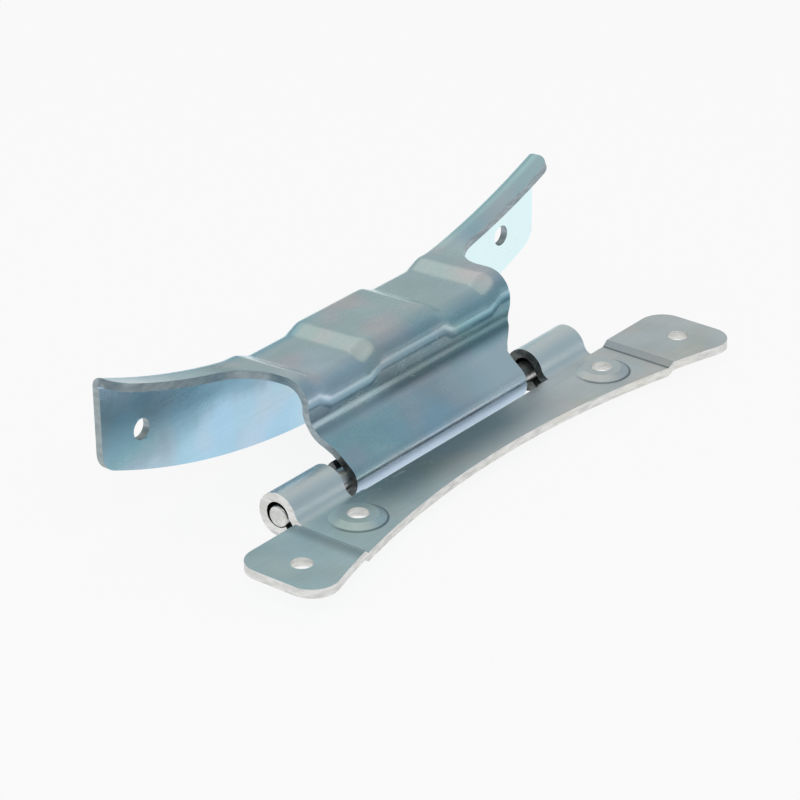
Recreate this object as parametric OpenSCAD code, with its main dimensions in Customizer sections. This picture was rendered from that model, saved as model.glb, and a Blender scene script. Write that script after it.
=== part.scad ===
// Door hinge of a front-loading washing machine: a pressed plate behind the cabinet
// panel, a pin in its two rolled knuckles, and a pressed arm that carries the door.
// Millimetres. The origin lies on the mounting face, halfway between the end screws;
// X runs along the pin, -Y points at the door opening, Z leaves the mounting face.
// The arm is drawn with the door open at a right angle.

/* [Hinge pin] */
// Diameter of the pin
pin_d = 6; // [5:0.1:7]
// Chamfer on both ends of the pin
pin_chamfer = 0.5; // [0.2:0.1:1]
// Distance of the pin's axis behind the end screws
pin_back = 22; // [20:0.5:26]
// Depth of the pin's axis below the mounting face
pin_drop = 1.6; // [1.4:0.1:2]
// Gap between the pin and the foot of the knuckles' bores, where it rests
knuckle_fit = 0.02; // [0.01:0.01:0.05]
// Radial play of the arm's barrel on the pin
barrel_fit = 0.06; // [0.04:0.01:0.1]
// Place of the hinge line's middle along the plate
hinge_offset = -2.6; // [-3:0.1:3]

/* [Mounting plate] */
// Thickness of the plate's sheet
plate_t = 2.5; // [2:0.1:3]
// Overall length of the plate
plate_length = 181; // [176:1:200]
// Distance of the tabs' back edge behind the end screws
plate_back = 14; // [12:0.5:15]
// Distance of the front edge's middle ahead of the screws
front_edge = 0.4; // [-1:0.2:2]
// Radius of the hollow front edge
front_edge_r = 275; // [240:5:340]
// Radius of the plate's corners
plate_corner_r = 7; // [3:0.5:8]
// Step from the middle of the plate up to the tabs
joggle = 1.4; // [1:0.1:2]
// Distance between the two steps
joggle_span = 131; // [130:1:138]
// Length of each step's slope
joggle_run = 1.8; // [1.2:0.2:3]

/* [Screw holes] */
// Distance of the end screws from the plate's ends
end_screw_in = 10; // [8:0.5:13]
// Distance between the screws in the raised bosses
boss_screw_span = 104.4; // [100:0.2:108]
// Distance of the boss screws behind the end screws
boss_back = 5.4; // [4:0.2:6]
// Diameter of the screw holes in the plate
plate_hole_d = 5.8; // [4.5:0.1:6.5]
// Outer diameter of a boss at its foot
boss_d = 15.4; // [14:0.2:16.4]
// Diameter of a boss's flat top
boss_top_d = 10.6; // [9:0.2:11.4]

/* [Knuckles] */
// Distance between the knuckles' outer ends
knuckle_outer_span = 122.8; // [118:0.4:125]
// Distance between the knuckles' inner ends
knuckle_inner_span = 83.8; // [82:0.2:90]
// Diameter of the knuckles' bores, which are loose on the pin
knuckle_bore_d = 7.2; // [6.4:0.1:7.6]
// Radius of the bend from the plate into a knuckle
knuckle_bend_r = 3; // [2:0.2:4]
// Opening left between a knuckle's rolled edge and the plate
knuckle_open_a = 62; // [54:1:80]
// Gap from the arm's barrel to the plate beside it
barrel_gap = 0.8; // [0.6:0.1:1.5]
// Depth of the cut-out that lets the arm swing in
swing_cut = 3.2; // [2.8:0.1:4.5]
// Clearance at each end of that cut-out
swing_side = 2; // [1.4:0.1:2.6]
// Radius of the cut-out's inner corners
swing_corner_r = 2; // [1:0.1:2.4]

/* [Door arm] */
// Thickness of the arm's sheet
arm_t = 2.2; // [1.8:0.1:2.4]
// Length of the rolled barrel
barrel_length = 72.2; // [68:0.2:74]
// Angle that the barrel's rolled edge leaves open
barrel_open_a = 73; // [60:1:100]
// Lean of the sloped front that runs into the barrel
slope_a = 52; // [46:1:56]
// Radius of the bend from the slope into the upright front
waist_r = 6; // [4:0.5:8]
// Distance of the upright front behind the pin's axis
face_back = 7.3; // [6.5:0.1:8]
// Radius of the fold from the front into the bridge
fold_r = 5; // [4:0.5:7]
// Rise of the bridge and the lip towards the front, in degrees
rise_a = 3; // [1:0.5:5]
// Width of the bridge
bridge_w = 84.8; // [80:0.4:90]
// Width of the upright front at the waist
waist_w = 81; // [78:0.5:84]
// Depth of the two panels pressed into the bridge
panel_depth = 2.2; // [1.2:0.1:2.8]
// Width of the raised pad between the panels
pad_w = 26.4; // [22:0.2:30]
// Width of each panel's floor
panel_w = 16.5; // [12:0.5:18]
// Run of the slopes beside the pad
pad_run = 4; // [3:0.5:5]
// Run of the slopes on the outer side of the panels
panel_run = 4.5; // [3:0.5:5]

/* [Wings] */
// Radius of the arc that the door rim sits in
door_r = 237; // [220:1:260]
// Height of the arc's lowest point above the pin's axis
arc_low = 21.1; // [19:0.1:23]
// Radius of the wings' lower edge
lower_r = 222; // [200:1:260]
// Depth of the lower edge's middle below the pin's axis
lower_drop = 6.2; // [4:0.2:8]
// Overall width across the wings
wing_span = 179.6; // [174:0.2:186]
// Distance of the wings' front face behind the pin's axis
wing_back = 35.3; // [33:0.1:38]
// Reach of the lip in front of the wings
lip_reach = 6.8; // [5:0.1:8]
// Inner radius of the bends into the wings
wing_bend_r = 1; // [0.6:0.1:1.6]
// Radius of the notches where the lip meets the bridge
notch_r = 10; // [6:0.5:12]
// Radius of the wings' lower corners
wing_corner_r = 6; // [3:0.5:8]
// Radius of the lip's corners at the tips
lip_corner_r = 4.5; // [2:0.5:5.5]
// Distance between the door screws
door_screw_span = 149.8; // [144:0.2:156]
// Height of the door screws above the pin's axis
door_screw_z = 18.4; // [17:0.1:20]
// Diameter of the door screw holes
door_hole_d = 5.9; // [4.5:0.1:6.5]

/* [Hidden] */
$fn = 96;

// Far enough to pass right through the sheet that is being cut
through = 400;
// Depth by which a true bore is cut out of a rolled outline
bore_skin = 0.05;

pin_r = pin_d / 2;
pin_length = knuckle_outer_span;
plate_top = pin_drop - joggle;          // top of the plate's middle, seen from the pin's axis
knuckle_bore_r = knuckle_bore_d / 2;
knuckle_r = knuckle_bore_r + plate_t;
knuckle_z = knuckle_bore_r - pin_r - knuckle_fit;   // the pin rests at the foot of the bores
// Centre of the bend that leads from the plate's top into a knuckle, seen from the roll
bend_z = plate_top + knuckle_bend_r - knuckle_z;
bend_y = -sqrt(pow(knuckle_r + knuckle_bend_r, 2) - bend_z * bend_z);
bend_a = atan2(bend_z, -bend_y);

barrel_bore_r = pin_r + barrel_fit;
barrel_r = barrel_bore_r + arm_t;
between_y = -barrel_r - barrel_gap;     // edge of the plate beside the barrel
swing_y = -barrel_r - swing_cut;        // edge of the cut-out, clear of the closed arm
swing_half = barrel_length / 2 + swing_side;

arc_z = arc_low + door_r;
bridge_half = bridge_w / 2;
// The bridge is as high as the lip is where the two meet
bridge_z = arc_z - sqrt(door_r * door_r - bridge_half * bridge_half);
pad_half = pad_w / 2;
panel_in = pad_half + pad_run;
panel_out = panel_in + panel_w;
lower_z = lower_r - lower_drop;
arm_back = wing_back + arm_t;
lip_y = wing_back - lip_reach;
// Middle of the bend between the upright front and the slope
waist_y = face_back - waist_r;
waist_z = (barrel_r + waist_r + waist_y * cos(slope_a)) / sin(slope_a);
wing_a = asin(wing_span / 2 / door_r) * 1.2;

// Points along an arc round centre c
function arc(c, r, a0, a1) =
    let (steps = max(2, ceil(abs(a1 - a0) / 6)))
    [for (i = [0:steps]) let (a = a0 + (a1 - a0) * i / steps) c + r * [cos(a), sin(a)]];

// Points along a wide arc through the places x0 to x1, with the centre at [0, c_y]
function wide_arc(c_y, r, x0, x1, side) =
    let (steps = 40)
    [for (i = [0:steps]) let (x = x0 + (x1 - x0) * i / steps) [x, c_y + side * sqrt(r * r - x * x)]];

function reversed(points) = [for (i = [len(points) - 1:-1:0]) points[i]];
function mirrored(points) = [for (i = [len(points) - 1:-1:0]) [-points[i].x, points[i].y]];

// Extrudes a Y-Z outline along X, with its middle at x = 0
module along_x(length) {
    rotate([90, 0, 90]) linear_extrude(length, center = true) children();
}

// Extrudes an X-Z outline along +Y, from y_from over a length
module along_y(length, y_from = 0) {
    translate([0, y_from + length, 0]) rotate([90, 0, 0]) linear_extrude(length) children();
}

module along_z() {
    linear_extrude(through, center = true) children();
}

module both_sides() {
    children();
    mirror([1, 0, 0]) children();
}

// Mounting plate, in the frame of the pin's axis

// Side view of the joggled sheet, in X and Z
module plate_section() {
    foot = joggle_span / 2 - joggle_run / 2;
    top = foot + joggle_run;
    end = plate_length / 2;
    upper = [[foot, plate_top], [top, pin_drop], [end, pin_drop]];
    lower = [for (point = upper) point - [0, plate_t]];
    polygon(concat(mirrored(upper), upper, reversed(lower), reversed(mirrored(lower))));
}

// Outline of the plate from above: hollow front edge, round corners, straight back edge
module plate_plan() {
    end = plate_length / 2;
    tab_y = -pin_back + plate_back;
    edge_y = -pin_back - front_edge - front_edge_r;
    corner_x = end - plate_corner_r;
    reach_r = front_edge_r + plate_corner_r;
    corner_y = edge_y + sqrt(reach_r * reach_r - corner_x * corner_x);
    meet_x = corner_x * front_edge_r / reach_r;
    meet_a = atan2(edge_y - corner_y, -corner_x);
    right = concat(
        arc([corner_x, corner_y], plate_corner_r, meet_a, 0),
        arc([corner_x, tab_y - plate_corner_r], plate_corner_r, 0, 90)
    );
    polygon(concat(wide_arc(edge_y, front_edge_r, -meet_x, meet_x, 1), right, mirrored(right)));
}

// Back edge beside the barrel, with the deeper cut-out for the closing arm, from above
module barrel_bay() {
    in = knuckle_inner_span / 2;
    cut = swing_half;
    r = swing_corner_r;
    right = concat(
        arc([cut - r, swing_y + r], r, -90, 0),
        [[cut, between_y], [in, between_y], [in, through]]
    );
    translate([hinge_offset, 0]) polygon(concat(right, mirrored(right)));
}

// A boss pressed up to the mounting face: the whole cone, or its hollow below
module boss(lift) {
    foot_z = plate_top - plate_t + lift;
    rotate_extrude() polygon([
        [0, foot_z - plate_t / 2], [boss_d / 2, foot_z - plate_t / 2], [boss_d / 2, foot_z],
        [boss_top_d / 2, foot_z + joggle], [0, foot_z + joggle],
    ]);
}

// The sheet from the plate round the pin, in Y and Z
module knuckle_profile() {
    start = 180 - bend_a;
    open = start + knuckle_open_a - 360;
    bend_c = [bend_y, bend_z + knuckle_z];
    tail_y = swing_y - plate_t;
    polygon(concat(
        [[tail_y, plate_top]],
        arc(bend_c, knuckle_bend_r, -90, -bend_a),
        arc([0, knuckle_z], knuckle_r, start, open),
        arc([0, knuckle_z], knuckle_bore_r - bore_skin, open, start),
        arc(bend_c, knuckle_bend_r + plate_t + bore_skin, -bend_a, -90),
        [[tail_y, plate_top - plate_t]]
    ));
}

module mounting_plate() {
    boss_y = -pin_back + boss_back;
    knuckle_length = (knuckle_outer_span - knuckle_inner_span) / 2;
    color("silver") translate([0, pin_back, -pin_drop]) difference() {
        union() {
            difference() {
                intersection() {
                    along_y(through, -through / 2) plate_section();
                    along_z() plate_plan();
                }
                along_z() barrel_bay();
            }
            translate([hinge_offset, 0, 0]) both_sides()
                translate([knuckle_inner_span / 2 + knuckle_length / 2, 0, 0])
                    along_x(knuckle_length) knuckle_profile();
            both_sides() translate([boss_screw_span / 2, boss_y, 0]) boss(plate_t);
        }
        translate([0, 0, knuckle_z]) rotate([0, 90, 0])
            cylinder(through, r = knuckle_bore_r, center = true);
        both_sides() translate([boss_screw_span / 2, boss_y, 0]) {
            boss(0);
            cylinder(through, d = plate_hole_d, center = true);
        }
        both_sides() translate([plate_length / 2 - end_screw_in, -pin_back, 0])
            cylinder(through, d = plate_hole_d, center = true);
    }
}

// Hinge pin

module hinge_pin() {
    half = pin_length / 2;
    color("gainsboro") translate([hinge_offset, pin_back, -pin_drop]) rotate([0, 90, 0])
        rotate_extrude() polygon([
            [0, -half], [pin_r - pin_chamfer, -half], [pin_r, -half + pin_chamfer],
            [pin_r, half - pin_chamfer], [pin_r - pin_chamfer, half], [0, half],
        ]);
}

// Door arm, in the frame of the pin's axis

// Everything below the pressed panels and their slopes, or below their undersides, in X and Z
module under_panels(sheet) {
    // The slopes run on above the bridge, so that only the panels cut into it
    over_z = panel_depth - sheet;
    floor_z = -panel_depth - sheet;
    right = [
        [pad_half - pad_run, over_z], [panel_in, floor_z], [panel_out, floor_z],
        [panel_out + panel_run * 2, over_z], [bridge_w, over_z], [bridge_w, -through],
    ];
    polygon(concat(right, mirrored(right)));
}

// Side view of the channel's outside, or of its inside, in Y and Z
module channel_profile(sheet) {
    front = face_back + sheet;
    back = arm_back - sheet;
    front_r = fold_r + arm_t - sheet;
    back_r = wing_bend_r + arm_t - sheet;
    function under_top(y, r) =
        bridge_z + (arm_back - y) * tan(rise_a) - (sheet + r) / cos(rise_a);
    front_c = [front + front_r, under_top(front + front_r, front_r)];
    back_c = [back - back_r, under_top(back - back_r, back_r)];
    polygon(concat(
        [[front, -through]], arc(front_c, front_r, 180, 90 - rise_a),
        arc(back_c, back_r, 90 - rise_a, 0), [[back, -through]]
    ));
}

// Extrudes an X-Z outline, drawn from the bridge's top, along the rise of the bridge
module rising_y() {
    translate([0, arm_back, bridge_z]) rotate([-rise_a, 0, 0])
        along_y(through, -through / 2) children();
}

// Bridge with its pressed panels, the upright front and the middle of the wings' plate
module channel() {
    difference() {
        intersection() {
            along_x(bridge_w) channel_profile(0);
            rising_y() under_panels(0);
            along_y(through) polygon(concat(
                wide_arc(lower_z, lower_r, -bridge_w, bridge_w, -1),
                [[bridge_w, through], [-bridge_w, through]]
            ));
        }
        intersection() {
            along_x(through) channel_profile(arm_t);
            rising_y() under_panels(arm_t);
        }
        translate([-through / 2, -through + wing_back - arm_t, -through + waist_z])
            cube(through);
    }
}

// Foot of the upright front, waist, slope and rolled barrel, in Y and Z
module roll_profile() {
    start = 180 - slope_a;
    end = start + 360 - barrel_open_a;
    waist_c = [waist_y, waist_z];
    foot_z = waist_z + arm_t;
    polygon(concat(
        [[face_back, foot_z]], arc(waist_c, waist_r, 0, -slope_a),
        arc([0, 0], barrel_r, start, end),
        arc([0, 0], barrel_bore_r - bore_skin, end, start),
        arc(waist_c, waist_r + arm_t, -slope_a, 0), [[face_back + arm_t, foot_z]]
    ));
}

// What is cut away beside the upright front and the slope, on one side, in X and Z
module front_trim(side) {
    fold_z = bridge_z - fold_r - arm_t;
    barrel_end = barrel_length / 2 + side * hinge_offset;
    // The part that dips into the plate's cut-out is as narrow as the barrel
    dip_z = barrel_r + swing_cut / 2;
    polygon([
        [bridge_half, fold_z], [waist_w / 2, waist_z - waist_r / 2], [barrel_end, dip_z],
        [barrel_end, -2 * barrel_r], [bridge_w, -2 * barrel_r], [bridge_w, fold_z],
    ]);
}

module front() {
    difference() {
        union() {
            channel();
            along_x(bridge_w) roll_profile();
        }
        along_y(through + wing_back - arm_t, -through) front_trim(1);
        mirror([1, 0, 0]) along_y(through + wing_back - arm_t, -through) front_trim(-1);
        rotate([0, 90, 0]) cylinder(through, r = barrel_bore_r, center = true);
    }
}

// Section through a wing, its bend and its lip; x is the distance from the arc's axis
module wing_section() {
    bend = wing_bend_r + arm_t;
    bend_c = [door_r + bend, wing_back - wing_bend_r];
    lip_end = (lip_reach + notch_r) * [-sin(rise_a), -cos(rise_a)];
    far = door_r + arc_low + lower_drop + bend;
    out = arc(bend_c, bend, 90, 180 - rise_a);
    in = arc(bend_c, wing_bend_r, 90, 180 - rise_a);
    last = len(out) - 1;
    polygon(concat(
        [[far, arm_back]], out, [out[last] + lip_end, in[last] + lip_end],
        reversed(in), [[far, wing_back]]
    ));
}

// Lip and notch from above, on the right-hand side
module lip_plan() {
    tip = wing_span / 2;
    polygon(concat(
        [[bridge_half - arm_t, lip_y - notch_r]],
        arc([bridge_half + notch_r, lip_y - notch_r], notch_r, 180, 90),
        arc([tip - lip_corner_r, lip_y + lip_corner_r], lip_corner_r, -90, 0),
        [[tip, through], [bridge_half - arm_t, through]]
    ));
}

// A wing from the front, on the right-hand side
module wing_outline() {
    tip = wing_span / 2;
    corner_x = tip - wing_corner_r;
    inner_r = lower_r - wing_corner_r;
    corner_z = lower_z - sqrt(inner_r * inner_r - corner_x * corner_x);
    meet_x = corner_x * lower_r / inner_r;
    meet_a = -90 + asin(corner_x / inner_r);
    polygon(concat(
        wide_arc(lower_z, lower_r, bridge_half - arm_t, meet_x, -1),
        arc([corner_x, corner_z], wing_corner_r, meet_a, 0),
        [[tip, through], [bridge_half - arm_t, through]]
    ));
}

module wing() {
    intersection() {
        translate([0, 0, arc_z]) rotate([-90, 0, 0]) rotate([0, 0, 90 - wing_a])
            rotate_extrude(angle = wing_a, $fn = 360) wing_section();
        along_z() lip_plan();
        along_y(through) wing_outline();
    }
}

module door_arm() {
    color("lightsteelblue") translate([0, pin_back, -pin_drop]) difference() {
        union() {
            front();
            both_sides() wing();
        }
        both_sides() along_y(through) translate([door_screw_span / 2, door_screw_z])
            circle(d = door_hole_d);
    }
}

mounting_plate();
hinge_pin();
door_arm();
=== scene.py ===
# %% [markdown]
# # A washing machine's door hinge
#
# The hinge has three pieces: a pressed plate that is screwed to the cabinet, a plain pin in
# the plate's rolled knuckles, and a pressed arm that turns on the pin and carries the round
# door. The CAD frame gives the sizes. This lesson models the arm and the pin again, cleans up
# the plate, gives them finishes of plated and bare steel, and lights them as in a studio.

# %% Load the frame
import math

import bpy
from mathutils import Matrix, Vector


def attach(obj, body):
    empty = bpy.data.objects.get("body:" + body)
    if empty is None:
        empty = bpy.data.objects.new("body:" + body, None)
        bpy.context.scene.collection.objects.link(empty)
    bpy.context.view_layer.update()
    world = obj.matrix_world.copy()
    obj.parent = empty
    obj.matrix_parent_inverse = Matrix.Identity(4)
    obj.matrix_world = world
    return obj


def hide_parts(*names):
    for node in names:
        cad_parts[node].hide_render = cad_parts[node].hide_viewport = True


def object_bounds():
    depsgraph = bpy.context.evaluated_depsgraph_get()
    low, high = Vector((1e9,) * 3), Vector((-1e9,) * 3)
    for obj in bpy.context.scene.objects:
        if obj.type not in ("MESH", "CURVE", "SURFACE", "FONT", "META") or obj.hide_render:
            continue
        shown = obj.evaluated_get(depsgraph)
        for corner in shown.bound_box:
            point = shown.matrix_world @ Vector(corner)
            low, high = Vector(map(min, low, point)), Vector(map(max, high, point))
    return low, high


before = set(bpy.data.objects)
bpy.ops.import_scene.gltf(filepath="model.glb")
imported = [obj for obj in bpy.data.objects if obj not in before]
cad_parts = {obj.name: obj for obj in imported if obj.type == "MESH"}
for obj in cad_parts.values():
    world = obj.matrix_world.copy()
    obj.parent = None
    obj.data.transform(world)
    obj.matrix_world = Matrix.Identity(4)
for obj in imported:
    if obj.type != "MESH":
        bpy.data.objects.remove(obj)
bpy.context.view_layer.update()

# %% [markdown]
# ## Camera
#
# The photograph was taken from the front left and above, with a long lens. The angles, the
# distance and the lens were worked out from the plate's holes, whose places are known, so the
# render can be laid over the photograph. The camera is placed before anything is modelled.

# %% Camera
azimuth, elevation, roll = math.radians(-50.767), math.radians(26.835), math.radians(-0.887)
back = Vector((math.sin(azimuth) * math.cos(elevation),
               -math.cos(azimuth) * math.cos(elevation), math.sin(elevation)))
right = Vector((0, 0, 1)).cross(back).normalized()
up = back.cross(right)
eye = Vector((-0.6444, -0.4923, 0.4229))
right, up = (right * math.cos(roll) + up * math.sin(roll),
             up * math.cos(roll) - right * math.sin(roll))
bpy.ops.object.select_all(action="DESELECT")
bpy.ops.object.camera_add()
camera = bpy.context.object
camera.name = "photo_camera"
camera.matrix_world = Matrix.LocRotScale(eye, Matrix((right, up, back)).transposed(), None)
camera.data.sensor_width = 36
camera.data.lens = 157.6
camera.data.clip_start, camera.data.clip_end = 0.05, 20
bpy.context.scene.camera = camera
bpy.context.scene.view_settings.view_transform = "Standard"
print("camera at", [round(v, 3) for v in camera.location])

# %% [markdown]
# ## Helpers for shader maths
#
# Each finish mixes several patterns. Wiring Math nodes by hand hides the formula, so a small
# class wraps a socket: adding or multiplying two wrapped values adds the Math node. All other
# nodes come from one method, which sets a node up and links its sockets.

# %% Socket wrapper
class Wire:
    """An output socket of a material, with operators that add Math nodes."""

    def __init__(self, tree, socket=None):
        self.tree, self.socket = tree, socket

    def node(self, kind, settings=None, **links):
        made = self.tree.nodes.new(kind)
        for key, value in (settings or {}).items():
            if key == "stops":
                ramp = made.color_ramp.elements
                while len(ramp) < len(value):
                    ramp.new(0.5)
                for stop, (place, colour) in zip(ramp, value):
                    stop.position, stop.color = place, colour
            else:
                setattr(made, key, value)
        for key, value in links.items():
            name = key.replace("_", " ")
            inlet = made.inputs[int(name[1:])] if name[1:].isdigit() else made.inputs[name]
            if isinstance(value, Wire):
                self.tree.links.new(value.socket, inlet)
            else:
                inlet.default_value = value
        self.made = made
        outs = [s for s in made.outputs if s.enabled]
        return Wire(self.tree, outs[0] if outs else None)

    def maths(self, operation, a, b=0.0):
        return self.node("ShaderNodeMath", {"operation": operation}, i0=a, i1=b)

    def __add__(self, other):
        return self.maths("ADD", self, other)

    def __sub__(self, other):
        return self.maths("SUBTRACT", self, other)

    def __mul__(self, other):
        return self.maths("MULTIPLY", self, other)

    def __radd__(self, other):
        return self.maths("ADD", other, self)

    def __rsub__(self, other):
        return self.maths("SUBTRACT", other, self)

    def __rmul__(self, other):
        return self.maths("MULTIPLY", other, self)

    def between(self, low, high):
        """0 below low, 1 above high and smooth between them."""
        return self.node("ShaderNodeMapRange", {"interpolation_type": "SMOOTHSTEP"},
                         Value=self, From_Min=low, From_Max=high)

    def band(self, low, full, still, high):
        """1 from full to still, 0 below low and above high, and smooth between them."""
        return self.between(low, full) * (1 - self.between(still, high))

    def noise(self, place, scale, detail=3.0, stretch=(1, 1, 1), rough=0.5):
        moved = self.node("ShaderNodeMapping", Vector=place, Scale=stretch)
        return self.node("ShaderNodeTexNoise", Vector=moved, Scale=scale, Detail=detail,
                         Roughness=rough)

    def blend(self, share, a, b):
        return self.node("ShaderNodeMix", {"data_type": "RGBA"}, i0=share, i6=a, i7=b)

    def times(self, a, b, share=1.0):
        return self.node("ShaderNodeMix", {"data_type": "RGBA", "blend_type": "MULTIPLY"},
                         i0=share, i6=a, i7=b)

    def axes(self, place):
        self.node("ShaderNodeSeparateXYZ", Vector=place)
        return [Wire(self.tree, out) for out in self.made.outputs]


def start_material(name):
    made = bpy.data.materials.new(name)
    made.use_nodes = True
    made.node_tree.nodes.clear()
    wire = Wire(made.node_tree)
    place = wire.node("ShaderNodeTexCoord")
    place.socket = wire.made.outputs["Object"]
    return made, wire, place


def finish_material(wire, shader):
    wire.node("ShaderNodeOutputMaterial", Surface=shader)


print("shader helpers ready")

# %% [markdown]
# ## Zinc plating
#
# The sheets are plated with zinc and passivated, which leaves a thin film with a blue cast.
# The film's thickness drifts, so the colour wanders between steel blue, teal and a little
# lilac. Rolling has left faint lines in the sheet, and handling has left dull patches and a
# few fine scratches. All of it comes from noise on Object coordinates: wide noise for the
# tint, stretched noise for the rolling lines, and a thin band of noise for the scratches.

# %% Zinc plating
STRAW, SCRATCHED = (1.0, 0.97, 0.88, 1), (0.85, 0.88, 0.9, 1)


def zinc(name, tints, gloss, lines, patch, painted_light):
    made, wire, place = start_material(name)
    wide = wire.noise(place, 26, 2)
    drift = wire.noise(place, 55, 1)
    middle = wire.noise(place, 95, 3)
    fine = wire.noise(place, 900, 3)
    rolled = wire.noise(place, 60, 3, stretch=(0.6, 22, 22))
    straw = wire.noise(place, 42, 1, stretch=(1, 1.3, 1.3))
    streak = wire.noise(place, 210, 2, stretch=(0.25, 1, 3))
    blue, teal, lilac = tints
    tint = wire.blend(wide.between(0.38, 0.62), blue, teal)
    tint = wire.blend(drift.between(0.46, 0.66) * 0.8, tint, lilac)
    tint = wire.times(tint, STRAW, straw.between(0.52, 0.72) * 0.6)
    shade = 0.9 + (rolled - 0.5) * lines + (middle - 0.5) * patch + (fine - 0.5) * 0.04
    grey = wire.node("ShaderNodeCombineColor", Red=shade, Green=shade, Blue=shade)
    # the passed function paints reflections and shade over the tint by place, and gives extra
    # roughness
    tint, dull = painted_light(wire, place, middle, wire.times(tint, grey))
    scratch = 1 - wire.maths("ABSOLUTE", streak - 0.5).between(0.0, 0.006)
    scratch = scratch * wide.between(0.5, 0.6)
    tint = wire.blend(scratch * 0.35, tint, SCRATCHED)
    rough = gloss + dull + (middle - 0.5) * 0.22 + (fine - 0.5) * 0.08 + scratch * 0.12
    height = rolled * 0.3 + fine * 0.12 + middle * 0.5 - scratch * 0.4
    bump = wire.node("ShaderNodeBump", Strength=0.12, Distance=0.0004, Height=height)
    shader = wire.node("ShaderNodeBsdfPrincipled", Base_Color=tint, Metallic=1.0,
                       Roughness=rough, Normal=bump)
    finish_material(wire, shader)
    return made


print("zinc ready")

# %% [markdown]
# Bright metal also takes its colour from the room. The room could be modelled, but what stood
# in it isn't known, so its darkest and palest reflections are painted over the tint by place, in
# metres in the row frame. The rolled barrel is duller than the rest, so the function that paints
# them gives a roughness too.

# %% Painted reflections on the arm
RIM_LOW, RIM_CURVE = 0.0197, 2.11       # the lip's height in the middle and its rise with x squared
PANEL_DIP = 0.0022
SHADE_REACH, SHADE_FALL, SHADE_LEAST = 28, 450, 9.0     # how far down the wing's dark part goes
SHADE_FROM = 0.085
WING_BLUE, WING_PALE, WING_DARK = (0.68, 0.88, 0.98, 1), (0.78, 0.97, 1.0, 1), (0.45, 0.52, 0.52, 1)
LEFT_LIP, RIGHT_LIP = (0.50, 0.66, 0.65, 1), (0.68, 0.83, 0.87, 1)
SLOPE_BLUE, SLOPE_PALE = (0.84, 0.98, 1.0, 1), (0.92, 1.0, 1.0, 1)
WAIST_DARK, FOLD_DARK = (0.30, 0.40, 0.42, 1), (0.42, 0.52, 0.58, 1)
FRONT_DARK_REFLECTION = (0.72, 0.88, 0.90, 1)
ROLL_PALE, ROLL_DULL = (0.66, 0.79, 0.92, 1), 0.4


def arm_painted_reflections(wire, place, middle, tint):
    """Painted reflections over the tint, and extra roughness: the wings, the lips, the front from
    the barrel up, the barrel.
    """
    x, y, z = wire.axes(place)
    out = wire.maths("ABSOLUTE", x)
    depth = (RIM_LOW + x * x * RIM_CURVE - z) * 1000        # millimetres below the lip
    inside = y.band(0.054, 0.0565, 0.0578, 0.0590)
    left, right = 1 - x.between(-0.02, 0.0), x.between(0.04, 0.05)
    # painted reflections on the wings' inner faces: bluer on the left wing, pale on the right one
    tint = wire.times(tint, WING_BLUE, inside * left)
    tint = wire.blend(inside * right, tint, WING_PALE)
    # a painted dark reflection on the left wing's upper part, reaching further down towards its tip
    soft = depth + (middle - 0.5) * 10
    reach = wire.maths("MAXIMUM", SHADE_REACH - SHADE_FALL * (x + SHADE_FROM), SHADE_LEAST)
    dark = soft.between(0.0, 11.0) * (1 - wire.maths("DIVIDE", soft, reach).between(0.5, 1.5))
    tint = wire.times(tint, WING_DARK, dark * inside * left)

    # painted dark reflections on the tops of the lips
    lip = 1 - depth.between(0.6, 1.4)
    tint = wire.times(tint, LEFT_LIP, lip * (1 - x.between(-0.05, -0.042)))
    tint = wire.times(tint, RIGHT_LIP, lip * x.between(0.046, 0.056))

    # painted reflections on the slope, and painted dark reflections in the waist, on the front's
    # left part and along the fold
    ahead = 1 - y.between(0.0305, 0.0325)
    slope = ahead * z.band(-0.0005, 0.0015, 0.0075, 0.0095)
    tint = wire.times(tint, SLOPE_BLUE, slope)
    tint = wire.blend(slope * x.between(0.0, 0.028) * 0.9, tint, SLOPE_PALE)
    shaded = x.between(-0.022, -0.004)
    waist = ahead * z.band(0.0085, 0.0108, 0.0128, 0.0150)
    tint = wire.times(tint, WAIST_DARK, waist * (0.45 + shaded * 0.55))
    tint = wire.times(tint, FRONT_DARK_REFLECTION, ahead * z.between(0.0125, 0.0140) * shaded)
    high = z + out.band(0.0129, 0.0177, 0.0335, 0.0385) * PANEL_DIP
    tint = wire.times(tint, FOLD_DARK, ahead * high.band(0.0165, 0.0175, 0.0184, 0.0202))

    # a painted pale reflection on the rolled barrel
    rolled = ahead * (1 - z.between(-0.0012, -0.0006))
    return wire.blend(rolled, tint, ROLL_PALE), rolled * ROLL_DULL


arm_tints = (0.72, 0.86, 0.97, 1), (0.66, 0.85, 0.88, 1), (0.86, 0.83, 0.90, 1)
arm_zinc = zinc("arm_zinc", arm_tints, gloss=0.25, lines=0.09, patch=0.2, painted_light=arm_painted_reflections)
print("zinc finish", arm_zinc.name)

# %% [markdown]
# The plate lies flat under a pale room, so less is painted over its tint: a bluer end, a painted
# highlight on the knuckles, and painted shade in front of the barrel and on the steps' risers.
# The creases at the feet of the steps and the bosses get painted shade, drawn as thin dark lines
# by the distance from the bend.

# %% Painted highlight and shade on the plate
STEP_FOOT = 0.0646
BOSS_X, BOSS_Y, BOSS_FOOT = 0.0522, 0.0054, 0.0076
END_BLUE, KNUCKLE_HIGHLIGHT, BARREL_SHADE = (0.80, 0.97, 1.0, 1), (0.93, 1.0, 1.0, 1), (0.30, 0.39, 0.44, 1)
RISER_SHADE, CREASE_SHADE = (0.62, 0.68, 0.73, 1), (0.38, 0.42, 0.45, 1)


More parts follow.
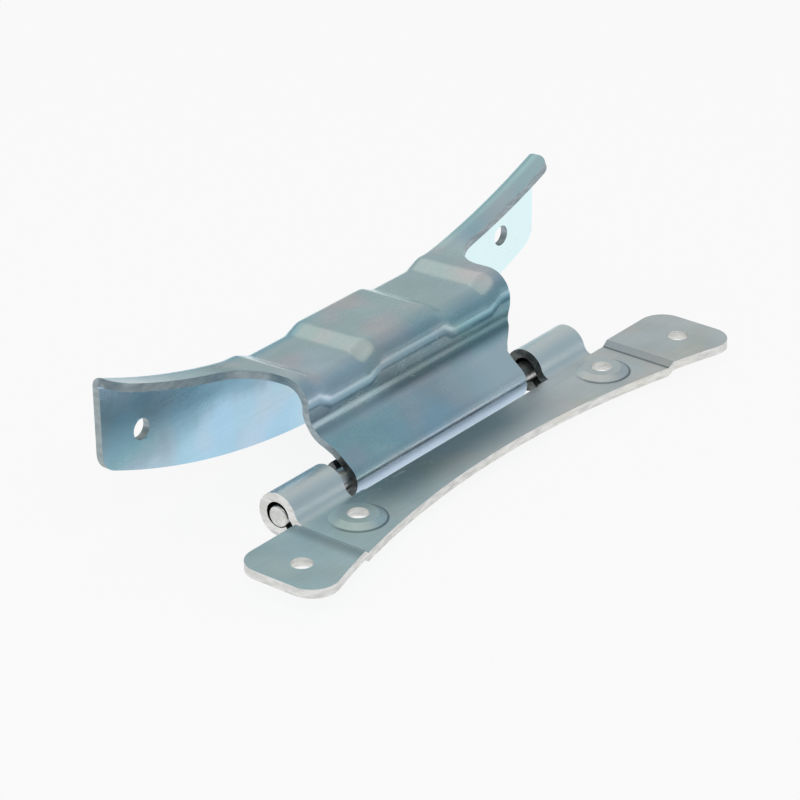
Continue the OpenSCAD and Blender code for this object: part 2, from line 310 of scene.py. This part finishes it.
def plate_painted_light(wire, place, middle, tint):
    """Tint, painted highlight and painted shade, and no extra roughness: one end, the knuckles,
    before the barrel, steps and bosses.
    """
    x, y, _ = wire.axes(place)
    out = wire.maths("ABSOLUTE", x)
    tint = wire.times(tint, END_BLUE, 1 - x.between(-0.07, 0.01))
    # painted highlight on the knuckles
    tint = wire.blend(y.between(0.0135, 0.0155), tint, KNUCKLE_HIGHLIGHT)
    # painted shade on the plate in front of the barrel
    near = y.band(-0.004, 0.010, 0.0128, 0.0150) * x.band(-0.066, -0.03, 0.008, 0.042)
    tint = wire.times(tint, BARREL_SHADE, near * (0.7 + middle * 0.4))
    # painted shade on the steps' risers
    tint = wire.times(tint, RISER_SHADE, out.band(0.0645, 0.0648, 0.0663, 0.0668))

    # painted shade in the creases at the feet of the steps, along the left step's top and round the
    # front halves of the bosses' feet
    foot = 1 - wire.maths("ABSOLUTE", out - STEP_FOOT).between(0.0001, 0.0004)
    bend = x.band(-0.0720, -0.0678, -0.0672, -0.0662) * 0.6
    aside, behind = out - BOSS_X, y - BOSS_Y
    ring = wire.maths("SQRT", aside * aside + behind * behind)
    rim = 1 - wire.maths("ABSOLUTE", ring - BOSS_FOOT).between(0.0001, 0.0005)
    rim = rim * (1 - behind.between(-0.002, 0.006))
    crease = wire.maths("MAXIMUM", wire.maths("MAXIMUM", foot, rim), bend)
    return wire.times(tint, CREASE_SHADE, crease), 0.0


plate_tints = (0.90, 0.95, 0.97, 1), (0.84, 0.91, 0.93, 1), (0.95, 0.94, 0.92, 1)
plate_zinc = zinc("plate_zinc", plate_tints, gloss=0.40, lines=0.12, patch=0.22, painted_light=plate_painted_light)
print("zinc finish", plate_zinc.name)

# %% [markdown]
# ## Cut edges and the pin
#
# Where the press cut the sheet, the steel shows a bright burnished band and a torn, matt one.
# The plate's edges have little plating and are paler than its faces. The arm's edges kept
# theirs and are darker. The pin is drawn steel: fine rings run round it, so its noise is
# stretched across the axis. The shadow in the gaps under the pin and round the barrel's ends
# is painted almost black.

# %% Cut edges and drawn steel
# the colour of the painted shadow on the pin inside the gaps
GAP_SHADOW = (0.08, 0.09, 0.09, 1)
PIN_MIDDLE = 0.0026                     # how far the pin's middle lies towards -x


def bare_steel(name, pale, dark, gloss, stretch, shadowed_in_gaps=False):
    made, wire, place = start_material(name)
    torn = wire.noise(place, 240, 4, stretch=stretch, rough=0.65)
    tint = wire.blend(torn.between(0.35, 0.68), pale, dark)
    if shadowed_in_gaps:
        # painted shadow on the pin's lower half, inside the gaps
        x, _, z = wire.axes(place)
        away = wire.maths("ABSOLUTE", x + PIN_MIDDLE).between(0.0600, 0.0612)
        tint = wire.times(tint, GAP_SHADOW, (1 - z.between(-0.0030, -0.0014)) * (1 - away))
    else:
        wide = wire.noise(place, 60, 2)
        warm = (pale[0], pale[1] * 0.95, pale[2] * 0.86, 1)
        tint = wire.blend(wide.between(0.5, 0.75) * 0.4, tint, warm)
    rough = gloss + (torn - 0.5) * 0.3
    bump = wire.node("ShaderNodeBump", Strength=0.25, Distance=0.0003, Height=torn)
    shader = wire.node("ShaderNodeBsdfPrincipled", Base_Color=tint, Metallic=1.0,
                       Roughness=rough, Normal=bump)
    finish_material(wire, shader)
    return made


cut_steel = bare_steel("cut_steel", (0.84, 0.84, 0.82, 1), (0.68, 0.68, 0.66, 1),
                       gloss=0.46, stretch=(1, 1, 4))
plated_edge = bare_steel("plated_edge", (0.39, 0.46, 0.49, 1), (0.28, 0.34, 0.37, 1),
                         gloss=0.40, stretch=(1, 1, 3))
# the pin's steel gets painted shadow where it lies in the gaps
pin_steel = bare_steel("pin_steel", (0.78, 0.78, 0.76, 1), (0.58, 0.58, 0.57, 1),
                       gloss=0.34, stretch=(6, 1, 1), shadowed_in_gaps=True)
# a dark steel that paints the shadow on faces in the gaps
shadowed_steel = bare_steel("shadowed_steel", (0.17, 0.19, 0.19, 1), (0.06, 0.07, 0.07, 1),
                         gloss=0.38, stretch=(1, 2, 2))
print("bare steels", cut_steel.name, plated_edge.name, pin_steel.name, shadowed_steel.name)

# %% [markdown]
# ## The pin
#
# A plain rod, as long as the two knuckles reach. A cylinder is added along X and the rims of
# its ends are bevelled, because a cut rod is chamfered before it is pushed in.

# %% Hinge pin
MM = 0.001
HINGE = Vector((0, 22, -1.6))      # a point on the pin's axis, in the row frame
HINGE_OFFSET = -2.6                # the hinge line's middle along the plate
PIN_R, PIN_LENGTH, PIN_CHAMFER = 3.0, 122.8, 0.5


def row_place(x, y, z):
    """A place seen from the pin's axis in millimetres, as a place in the row frame in metres."""
    return (Vector((x, y, z)) + HINGE) * MM


def only(piece):
    bpy.ops.object.select_all(action="DESELECT")
    piece.select_set(True)
    bpy.context.view_layer.objects.active = piece


def apply_all(piece):
    only(piece)
    for name in [m.name for m in piece.modifiers]:
        bpy.ops.object.modifier_apply(modifier=name)


def settle(piece):
    only(piece)
    bpy.ops.object.transform_apply(location=True, rotation=True, scale=True)


def count(piece):
    piece.data.calc_loop_triangles()
    return f"{piece.name}: {len(piece.data.loop_triangles)} triangles"


bpy.ops.object.select_all(action="DESELECT")
bpy.ops.mesh.primitive_cylinder_add(vertices=72, radius=PIN_R * MM, depth=PIN_LENGTH * MM,
                                    location=row_place(HINGE_OFFSET, 0, 0),
                                    rotation=(0, math.pi / 2, 0))
pin = bpy.context.object
pin.name = "pin_rod"
settle(pin)
chamfer = pin.modifiers.new("chamfer", "BEVEL")
chamfer.width, chamfer.segments, chamfer.limit_method = PIN_CHAMFER * MM, 3, "ANGLE"
apply_all(pin)
bpy.ops.object.shade_smooth_by_angle(angle=math.radians(35))
pin.data.materials.append(pin_steel)
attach(pin, "plate")
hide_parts("hinge_pin")
print(count(pin))

# %% [markdown]
# ## The mounting plate
#
# The plate's CAD solid has the right shape, with flat faces and sharp edges. A copy of it is
# welded, because its triangles are loose. Faces without any area are dissolved, since a bevel
# would turn them inside out, and the flat parts are cleaned up. The bevel is hair-fine, because
# the solid's finest edges leave no room for more. The cut edges that have many corners are
# shaded flat, and weighted normals keep the other flat faces flat beside their rims.

# %% Mounting plate
PLATED, CUT, IN_SHADOW = 0, 1, 2            # material indices of both sheets
STEEP = 0.4                             # a face whose normal rises less is an upright one
END_ON = 0.9                            # a face whose normal runs more along x is an end
KNUCKLE_IN = 45                         # the knuckles' inner ends, along the pin
ROOT_Y, KNUCKLE_Y = -12, -8.0           # where the cut-out and the knuckles begin
ROLL_IN, ROLL_OUT = 3.2, 6.4            # the knuckles' rolls, from the pin's axis
TURNED_IN = 0.3                         # a face of a roll that points outwards less is inside


def round_rims(piece, width, angle):
    """Bevels the edges that turn by more than the angle."""
    rim = piece.modifiers.new("rim", "BEVEL")
    rim.width, rim.segments = width * MM, 2
    rim.limit_method, rim.angle_limit = "ANGLE", math.radians(angle)
    apply_all(piece)


def flatten(piece, weight):
    """Lets large faces rule the shading of small ones beside them."""
    even = piece.modifiers.new("even", "WEIGHTED_NORMAL")
    even.keep_sharp, even.weight = True, weight
    apply_all(piece)


only(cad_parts["mounting_plate"])
bpy.ops.object.duplicate()
plate = bpy.context.object
plate.name = "pressed_plate"
for key in [k for k in plate.keys() if k.startswith("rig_")]:
    del plate[key]
plate.data.materials.clear()
bpy.ops.object.mode_set(mode="EDIT")
bpy.ops.mesh.select_all(action="SELECT")
bpy.ops.mesh.remove_doubles(threshold=0.004 * MM)
bpy.ops.mesh.dissolve_degenerate(threshold=0.01 * MM)
bpy.ops.mesh.dissolve_limited(angle_limit=math.radians(0.6))
bpy.ops.object.mode_set(mode="OBJECT")
round_rims(plate, width=0.01, angle=28)
plate.data.materials.append(plate_zinc)
plate.data.materials.append(cut_steel)
plate.data.materials.append(shadowed_steel)
knuckle_start = row_place(0, KNUCKLE_Y, 0).y
for face in plate.data.polygons:
    place = face.center / MM - HINGE
    upright = abs(face.normal.z) < STEEP and face.center.y < knuckle_start
    end = abs(face.normal.x) > END_ON
    along = abs(place.x - HINGE_OFFSET)
    # the cut-out's edges, the knuckles' inner ends and the rolls' insides lie in the gaps and get
    # the dark steel, which paints their shadow
    inner = along < KNUCKLE_IN and place.y > ROOT_Y and (end or upright)
    out = Vector((0, place.y, place.z))
    rolled = along < PIN_LENGTH / 2 and ROLL_IN < out.length < ROLL_OUT and not end
    rolled = rolled and face.normal.dot(out.normalized()) < TURNED_IN
    face.material_index = IN_SHADOW if inner or rolled else CUT if upright or end else PLATED
bpy.ops.object.shade_smooth_by_angle(angle=math.radians(24))
for face in plate.data.polygons:
    if len(face.vertices) > 4 and abs(face.normal.z) < STEEP:
        face.use_smooth = False
flatten(plate, weight=100)
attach(plate, "plate")
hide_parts("mounting_plate")
print(count(plate))

# %% [markdown]
# ## The door arm
#
# The arm is one sheet, so it is modelled as a sheet and given its thickness at the end. A
# grid's columns run across the hinge and its rows run along the sheet: up from the barrel's
# rolled edge, round the barrel, up the slope and the front, over the fold and the bridge, and
# down the wings' plate. First come the sizes, in millimetres from the pin's axis.

# %% Arm sizes
SHEET = 2.2
BARREL_R, BARREL_HALF, BARREL_OPEN = 5.26, 36.1, 73
SLOPE, WAIST_R, FACE_BACK, FOLD_R = 52, 6.0, 7.3, 5.0 + SHEET
RISE = math.radians(3)
BRIDGE_HALF, WAIST_HALF = 42.4, 40.5
PAD_HALF, PAD_RUN, PANEL_OUT, PANEL_RUN, PANEL_DEPTH = 12.9, 4.8, 33.5, 5.0, 2.2
PRESS_R, LIFT_SOFT = 0.35, 0.4          # how soft the pressed slopes and the lip's rise begin
# how far past the barrel's radius the cut edges get the painted shadow of the gaps
SHADOW_REACH = 0.3
DOOR_R, ARC_LOW, LOWER_R, LOWER_DROP = 237.0, 21.1, 222.0, 6.2
TIP, WING_BACK, LIP_REACH, WING_BEND = 89.4, 35.3, 6.8, 1.0 + SHEET
NOTCH_R, WING_CORNER, LIP_CORNER = 10.0, 6.0, 4.5
SCREW_X, SCREW_Z, SCREW_R = 74.9, 18.4, 2.95
ARM_BACK = WING_BACK + SHEET
LIP_Y = WING_BACK - LIP_REACH
NOTCH_Y = LIP_Y - NOTCH_R
ARC_Z, LOWER_Z = ARC_LOW + DOOR_R, LOWER_R - LOWER_DROP
BRIDGE_Z = ARC_Z - math.sqrt(DOOR_R ** 2 - BRIDGE_HALF ** 2)
slope = math.radians(SLOPE)
WAIST_Y = FACE_BACK - WAIST_R
WAIST_Z = (BARREL_R + WAIST_R + WAIST_Y * math.cos(slope)) / math.sin(slope)
print("bridge height", round(BRIDGE_Z, 2), "waist height", round(WAIST_Z, 2))

# %% [markdown]
# Functions give the pressed form: the height of the bridge and the lip with the two panels,
# the edges of the lip and the wings, and the width of the front.

# %% Pressed form
def smooth(t):
    t = min(max(t, 0.0), 1.0)
    return t * t * (3 - 2 * t)


def press_ramp(x, start, run):
    """0 before a pressed slope and 1 after it, straight between soft press radii."""
    def soft(d):
        return math.log1p(math.exp(d / PRESS_R)) * PRESS_R
    return (soft(x - start) - soft(x - start - run)) / run


def panel_dip(x):
    """Depth of the two pressed panels beside the raised pad."""
    x = abs(x)
    down, up = press_ramp(x, PAD_HALF, PAD_RUN), press_ramp(x, PANEL_OUT, PANEL_RUN)
    return -PANEL_DEPTH * down * (1 - up)


def top_z(x, y):
    """Height of the bridge or of the lip, which curves up with the door's rim."""
    lift = ARC_Z - math.sqrt(DOOR_R ** 2 - x * x) - BRIDGE_Z
    lift = (lift + math.hypot(lift, LIFT_SOFT)) / 2
    return BRIDGE_Z + lift + (ARM_BACK - y) * math.tan(RISE) + panel_dip(x)


def lip_front(x):
    """Front edge of the lip: a notch beside the bridge, straight, and a round corner."""
    x = abs(x)
    if x < BRIDGE_HALF + NOTCH_R:
        return NOTCH_Y + math.sqrt(max(NOTCH_R ** 2 - (x - BRIDGE_HALF - NOTCH_R) ** 2, 0))
    turn = max(x - TIP + LIP_CORNER, 0)
    return LIP_Y + LIP_CORNER - math.sqrt(max(LIP_CORNER ** 2 - turn ** 2, 0))


def lower_edge(x):
    """Lower edge of the wings: one wide arc and a round corner at the tip."""
    corner_x, inner_r = TIP - WING_CORNER, LOWER_R - WING_CORNER
    if abs(x) < corner_x * LOWER_R / inner_r:
        return LOWER_Z - math.sqrt(LOWER_R ** 2 - x * x)
    corner_z = LOWER_Z - math.sqrt(inner_r ** 2 - corner_x ** 2)
    return corner_z - math.sqrt(max(WING_CORNER ** 2 - (abs(x) - corner_x) ** 2, 0))


def front_half(z, side):
    """Half width of the front at a height: narrow at the barrel, wide at the fold."""
    barrel = BARREL_HALF + side * HINGE_OFFSET
    low, mid, high = BARREL_R + 2, WAIST_Z - WAIST_R / 2, BRIDGE_Z - FOLD_R
    half = barrel + (WAIST_HALF - barrel) * smooth((z - low) / (mid - low))
    return half + (BRIDGE_HALF - WAIST_HALF) * smooth((z - mid + 1) / (high - mid + 1))


print("dip of the panels", round(panel_dip(25), 2), "lip front", round(lip_front(TIP), 2))

# %% [markdown]
# The columns stand closer where the outline turns. Each row says which part of the sheet it
# belongs to, and how far along that part it lies, as a share or as an angle.

# %% Columns and rows of the sheet
def steps(first, last, number):
    return [first + (last - first) * i / number for i in range(number)]


bridge_columns = steps(0, BRIDGE_HALF, 72)
notch_columns = [BRIDGE_HALF + NOTCH_R * (1 - math.cos(math.radians(a))) for a in steps(0, 90, 12)]
wing_columns = steps(BRIDGE_HALF + NOTCH_R, TIP - WING_CORNER, 18)
tip_columns = [TIP - WING_CORNER * (1 - math.sin(math.radians(a))) for a in steps(0, 90, 9)]
tip_columns += [TIP]
half_columns = bridge_columns + notch_columns + wing_columns + tip_columns
columns = [-x for x in half_columns[:0:-1]] + half_columns

rows = [("barrel", a) for a in steps(180 - SLOPE + 360 - BARREL_OPEN, 180 - SLOPE, 48)]
rows += [("slope", t) for t in steps(0, 1, 5)]
rows += [("waist", a) for a in steps(-SLOPE, 0, 9)]
rows += [("front", t) for t in steps(0, 1, 3)]
rows += [("fold", a) for a in steps(180, 90 - math.degrees(RISE), 14)]
rows += [("bridge", t) for t in steps(0, 1, 3)]
first_wing_row = len(rows)
rows += [("lip", t) for t in steps(0, 1, 12)]
rows += [("bend", a) for a in steps(90 - math.degrees(RISE), 0, 8)]
rows += [("web", t) for t in steps(0, 1, 16)] + [("web", 1)]
print(len(columns), "columns and", len(rows), "rows")

# %% [markdown]
# A press bends the sheet along lines, so every part of it is a flat run or an arc when seen from
# the side. One function turns a column and a row into a place: the row gives the depth and the
# height, and the column the place along the hinge, squeezed where the front is narrow.

# %% Place of every point
def sheet_place(x, row):
    """Place of one point of the arm's outer face, seen from the pin's axis."""
    kind, t = row
    turn = math.radians(t)
    side = 1 if x > 0 else -1
    share = x / BRIDGE_HALF
    fold_y = FACE_BACK + FOLD_R
    fold_top = fold_y + FOLD_R * math.sin(RISE)
    fold_z = top_z(x, fold_top) - FOLD_R * math.cos(RISE)
    bend_y = ARM_BACK - WING_BEND
    bend_top = bend_y + WING_BEND * math.sin(RISE)
    bend_z = top_z(x, bend_top) - WING_BEND * math.cos(RISE)
    if kind == "barrel":
        y, z = BARREL_R * math.cos(turn), BARREL_R * math.sin(turn)
        return share * front_half(0, side), y, z
    if kind == "slope":
        start = math.pi - slope
        y0, z0 = BARREL_R * math.cos(start), BARREL_R * math.sin(start)
        y1, z1 = WAIST_Y + WAIST_R * math.cos(-slope), WAIST_Z + WAIST_R * math.sin(-slope)
        y, z = y0 + (y1 - y0) * t, z0 + (z1 - z0) * t
    if kind == "waist":
        y, z = WAIST_Y + WAIST_R * math.cos(turn), WAIST_Z + WAIST_R * math.sin(turn)
    if kind == "front":
        y, z = FACE_BACK, WAIST_Z + (fold_z - WAIST_Z) * t
    if kind in ("slope", "waist", "front"):
        return share * front_half(z, side), y, z
    if kind == "fold":
        return x, fold_y + FOLD_R * math.cos(turn), fold_z + FOLD_R * math.sin(turn)
    if kind == "bridge":
        y = fold_top + (NOTCH_Y - fold_top) * t
        return x, y, top_z(x, y)
    if kind == "lip":
        start = NOTCH_Y if abs(x) <= BRIDGE_HALF else lip_front(x)
        y = start + (bend_top - start) * t
        return x, y, top_z(x, y)
    if kind == "bend":
        return x, bend_y + WING_BEND * math.cos(turn), bend_z + WING_BEND * math.sin(turn)
    return x, ARM_BACK, bend_z + (lower_edge(x) - bend_z) * t


print("wing's lower corner", [round(v, 1) for v in sheet_place(TIP, rows[-1])])

# %% [markdown]
# A grid already has its points in columns and rows, so no list of faces is needed. The wings
# only exist behind the lip's edge, so the grid loses its faces in front of them. Then every
# point is moved to its place. The normals have to point outwards, or the thickness would go
# the wrong way.

# %% Arm sheet
bpy.ops.object.select_all(action="DESELECT")
bpy.ops.mesh.primitive_grid_add(x_subdivisions=len(columns) - 1,
                                y_subdivisions=len(rows) - 1, size=2)
arm = bpy.context.object
arm.name = "pressed_arm"


def grid_step(value, number):
    return round((value + 1) / 2 * (number - 1))


bpy.ops.object.mode_set(mode="EDIT")
bpy.ops.mesh.select_mode(type="FACE")
bpy.ops.mesh.select_all(action="DESELECT")
bpy.ops.object.mode_set(mode="OBJECT")
for face in arm.data.polygons:
    i = (face.center.x + 1) / 2 * (len(columns) - 1)
    j = (face.center.y + 1) / 2 * (len(rows) - 1)
    middle = (columns[math.floor(i)] + columns[math.ceil(i)]) / 2
    face.select = abs(middle) > BRIDGE_HALF and j < first_wing_row
bpy.ops.object.mode_set(mode="EDIT")
bpy.ops.mesh.delete(type="FACE")
bpy.ops.object.mode_set(mode="OBJECT")
for point in arm.data.vertices:
    column = columns[grid_step(point.co.x, len(columns))]
    row = rows[grid_step(point.co.y, len(rows))]
    point.co = row_place(*sheet_place(column, row))
arm.data.update()
pad = row_place(0, LIP_Y, BRIDGE_Z)
pad_face = min(arm.data.polygons, key=lambda face: (face.center - pad).length)
if pad_face.normal.z < 0:
    arm.data.flip_normals()
print(len(arm.data.polygons), "faces in the sheet")

# %% [markdown]
# The thickness goes inwards, so that the outer face keeps its place, and the cut edges get a
# second finish. The two screw holes are cut right through the wings. The bevel on the cut
# edges is hair-fine, as the grid's points lie close to the holes. The barrel's cut edges get
# the painted shadow of the gaps, and weighted normals keep the flat faces flat beside the rims.

# %% Thickness, holes and edges
arm.data.materials.append(arm_zinc)
arm.data.materials.append(plated_edge)
arm.data.materials.append(shadowed_steel)
thick = arm.modifiers.new("thick", "SOLIDIFY")
thick.thickness, thick.offset, thick.use_even_offset = SHEET * MM, -1, True
thick.material_offset_rim = CUT
apply_all(arm)
for side in (-1, 1):
    bpy.ops.object.select_all(action="DESELECT")
    middle = row_place(side * SCREW_X, ARM_BACK - SHEET / 2, SCREW_Z)
    bpy.ops.mesh.primitive_cylinder_add(vertices=64, radius=SCREW_R * MM, depth=3 * SHEET * MM,
                                        location=middle, rotation=(math.pi / 2, 0, 0))
    drill = bpy.context.object
    drill.data.materials.append(plated_edge)
    hole = arm.modifiers.new("hole", "BOOLEAN")
    hole.operation, hole.object, hole.solver = "DIFFERENCE", drill, "EXACT"
    apply_all(arm)
    bpy.data.objects.remove(drill)
round_rims(arm, width=0.005, angle=55)
# the barrel's cut edges get the dark steel, which paints the shadow in the gaps
for face in arm.data.polygons:
    place = face.center / MM - HINGE
    if face.material_index == CUT and math.hypot(place.y, place.z) < BARREL_R + SHADOW_REACH:
        face.material_index = IN_SHADOW
bpy.ops.object.shade_smooth_by_angle(angle=math.radians(40))
flatten(arm, weight=50)
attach(arm, "arm")
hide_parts("door_arm")
print(count(arm))

# %% [markdown]
# ## Studio
#
# The photograph has a white background and soft light from large white panels. The floor and
# the world are white to the camera and to reflections, and light the object at a plain level.

# %% Floor and world
FLOOR_GAP, FLOOR_SEEN, FLOOR_MIRRORED = 0.0004, 0.88, 0.9
SKY_LIGHT = 0.55
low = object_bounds()[0]
bpy.ops.object.select_all(action="DESELECT")
bpy.ops.mesh.primitive_plane_add(size=6, location=(0, 0, low.z - FLOOR_GAP))
floor = bpy.context.object
floor.name = "studio_floor"
made, wire, _ = start_material("studio_white")
matt = wire.node("ShaderNodeBsdfDiffuse", Color=(0.88, 0.88, 0.88, 1))
glow = wire.node("ShaderNodeEmission", Color=(1, 1, 1, 1), Strength=1.0)
wire.node("ShaderNodeLightPath")
lights = wire.made.outputs
seen = Wire(wire.tree, lights["Is Camera Ray"])
mirrored = wire.maths("MAXIMUM", Wire(wire.tree, lights["Is Glossy Ray"]),
                      Wire(wire.tree, lights["Is Transmission Ray"]))
share = seen * FLOOR_SEEN + mirrored * FLOOR_MIRRORED
finish_material(wire, wire.node("ShaderNodeMixShader", i0=share, i1=matt, i2=glow))
floor.data.materials.append(made)

world = bpy.data.worlds.new("studio_world")
bpy.context.scene.world = world
world.use_nodes = True
world.node_tree.nodes.clear()
wire = Wire(world.node_tree)
wire.node("ShaderNodeLightPath")
lights = wire.made.outputs
shown = wire.maths("MAXIMUM", Wire(wire.tree, lights["Is Camera Ray"]),
                   wire.maths("MAXIMUM", Wire(wire.tree, lights["Is Glossy Ray"]),
                              Wire(wire.tree, lights["Is Transmission Ray"])))
strength = SKY_LIGHT + shown * (1 - SKY_LIGHT)
sky = wire.node("ShaderNodeBackground", Color=(1, 1, 1, 1), Strength=strength)
wire.node("ShaderNodeOutputWorld", Surface=sky)
print("floor at", round(floor.location.z, 4))

# %% [markdown]
# One large round lamp adds a little soft light from the front left. A ring of grey paper with a
# ceiling, which only reflections see, gives the bright metal something grey to mirror, as the
# room did. The ring is darker towards the front, bright and warm high up at the back, and has
# one faint window, which draws the thin bright line along the fold.

# %% Lamp and paper ring
ROOM_MIDDLE = Vector((0, 0.02, 0))
LAMP_PLACE, LAMP_SIZE, LAMP_POWER = Vector((-0.9, -0.6, 1.4)), 1.5, 5
RING_R, RING_HIGH, RING_MIDDLE = 1.4, 1.9, 1.0
CEILING_R, CEILING_Z = 2.0, 1.95

bpy.ops.object.select_all(action="DESELECT")
bpy.ops.object.light_add(type="AREA", location=LAMP_PLACE)
lamp = bpy.context.object
lamp.name = "key_panel"
lamp.data.shape, lamp.data.size, lamp.data.energy = "DISK", LAMP_SIZE, LAMP_POWER
lamp.rotation_mode = "QUATERNION"
lamp.rotation_quaternion = (ROOM_MIDDLE - LAMP_PLACE).to_track_quat("-Z", "Y")

bpy.ops.object.select_all(action="DESELECT")
bpy.ops.mesh.primitive_cylinder_add(vertices=96, radius=RING_R, depth=RING_HIGH,
                                    end_fill_type="NOTHING",
                                    location=ROOM_MIDDLE + Vector((0, 0, RING_MIDDLE)))
wall = bpy.context.object
wall.name = "grey_wall"
settle(wall)
made, wire, place = start_material("wall_grey")
_, across, height = wire.axes(place)
paper = wire.node("ShaderNodeValToRGB", {"stops": [
    (0.04, (0.27, 0.33, 0.37, 1)), (0.14, (0.28, 0.345, 0.40, 1)), (0.30, (0.29, 0.37, 0.42, 1)),
    (0.70, (0.38, 0.42, 0.44, 1)), (0.94, (0.45, 0.48, 0.48, 1)),
]}, Fac=across * 0.5 + 0.5)
warm = height.between(1.0, 1.5) * across.between(0.7, 1.2)
paper = wire.blend(warm, paper, (0.74, 0.71, 0.65, 1))
window = across.band(-1.00, -0.95, -0.86, -0.80) * height.band(0.15, 0.2, 0.36, 0.44)
paper = wire.blend(window * 0.3, paper, (0.9, 0.95, 1.0, 1))
finish_material(wire, wire.node("ShaderNodeEmission", Color=paper, Strength=1.0))
wall.data.materials.append(made)

bpy.ops.object.select_all(action="DESELECT")
bpy.ops.mesh.primitive_circle_add(vertices=96, radius=CEILING_R, fill_type="NGON",
                                  location=ROOM_MIDDLE + Vector((0, 0, CEILING_Z)))
ceiling = bpy.context.object
ceiling.name = "grey_ceiling"
made, wire, _ = start_material("ceiling_grey")
finish_material(wire, wire.node("ShaderNodeEmission", Color=(0.54, 0.53, 0.50, 1), Strength=1.0))
ceiling.data.materials.append(made)
for screen in (wall, ceiling):
    screen.visible_camera = screen.visible_shadow = screen.visible_diffuse = False
print("lamp and paper ring placed")
